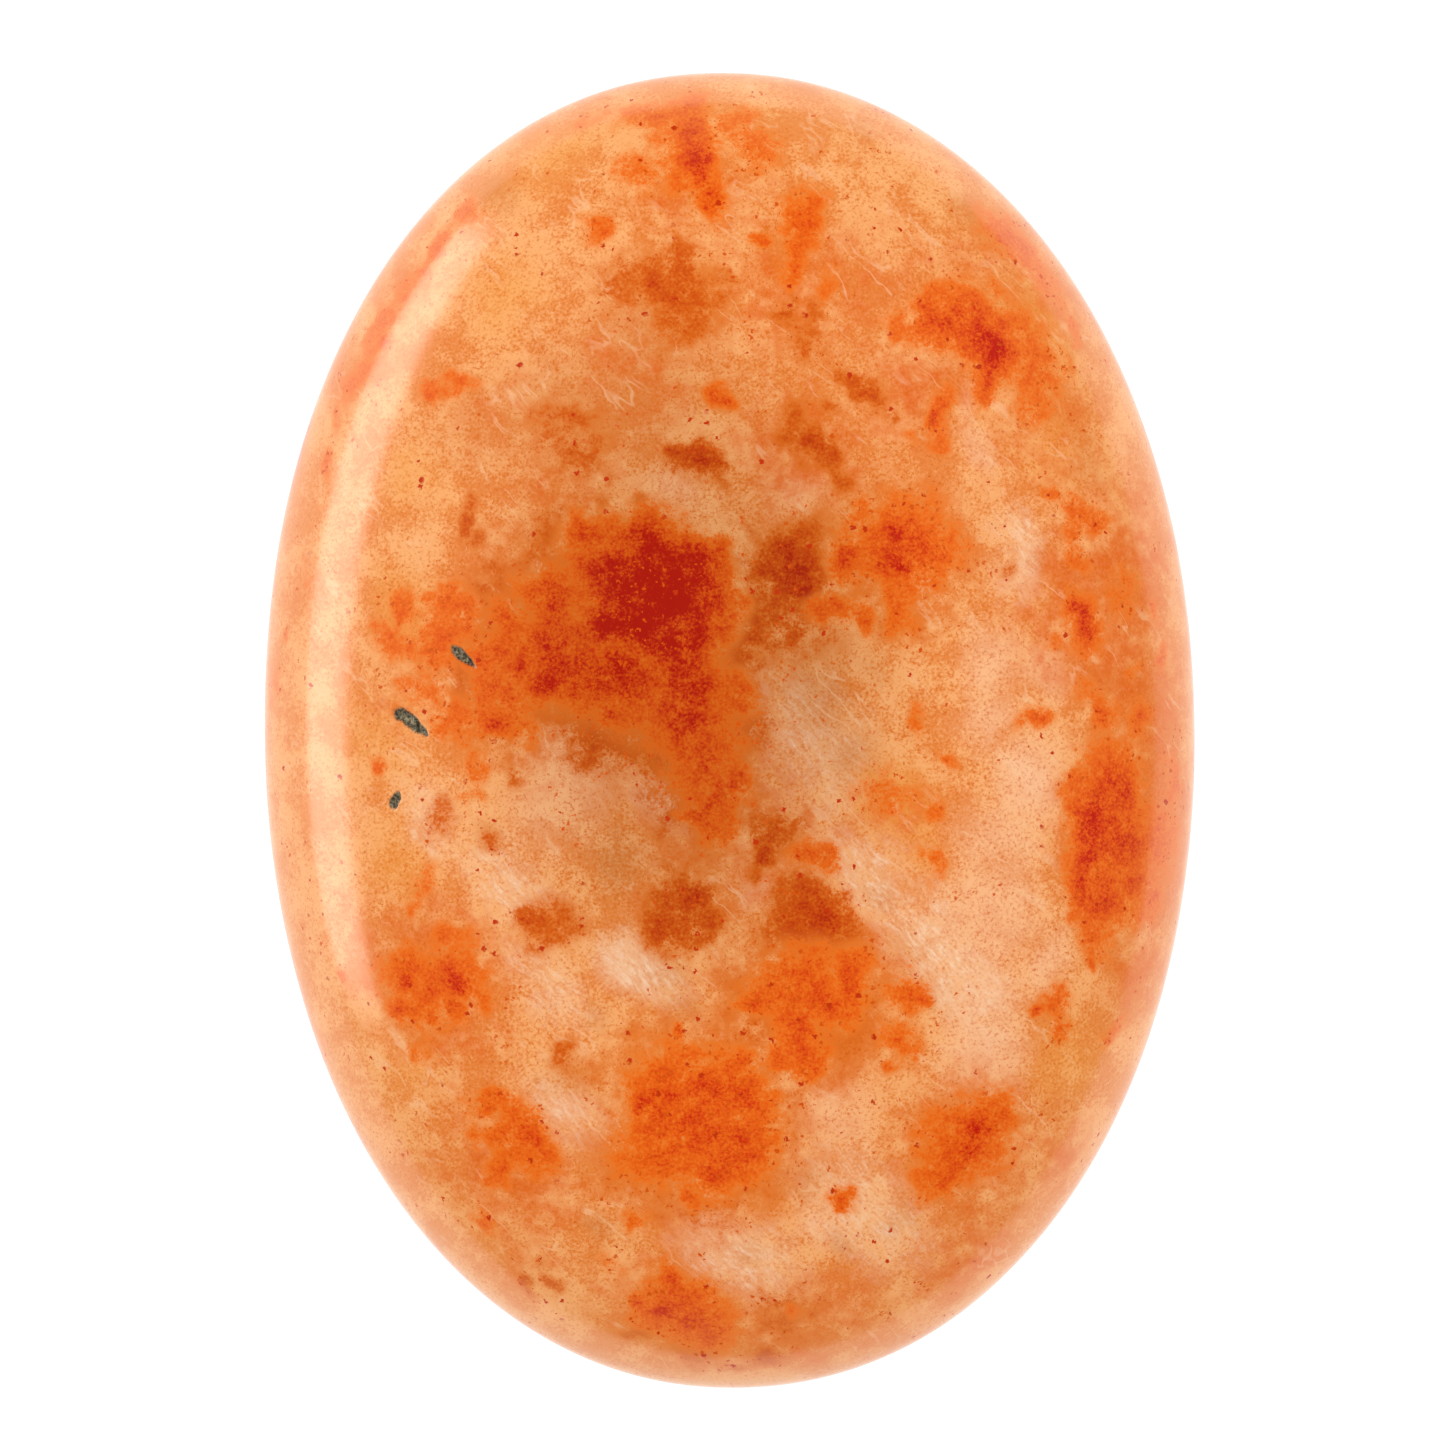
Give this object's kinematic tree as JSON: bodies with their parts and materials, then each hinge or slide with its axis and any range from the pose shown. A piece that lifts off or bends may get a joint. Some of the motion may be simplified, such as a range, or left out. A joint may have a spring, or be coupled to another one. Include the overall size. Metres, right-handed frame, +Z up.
{
  "type": "sunstone palm stone",
  "caption": "Polished oval palm stone of mottled orange sunstone, with gently domed faces, a rounded edge and a back polished flat in the middle to rest on.",
  "frame": {"origin": "middle of the flat patch under the stone, at the centre of its outline", "axes": "+X across the width, to the right in the picture; +Y along the length, to the top of the picture; +Z up out of the upper face, towards the camera"},
  "size_m": [0.0494, 0.07, 0.02],
  "materials": {
    "polished_sunstone": "polished"
  },
  "bodies": {
    "root": {"sunstone": "polished_sunstone"}
  },
  "joints": []
}
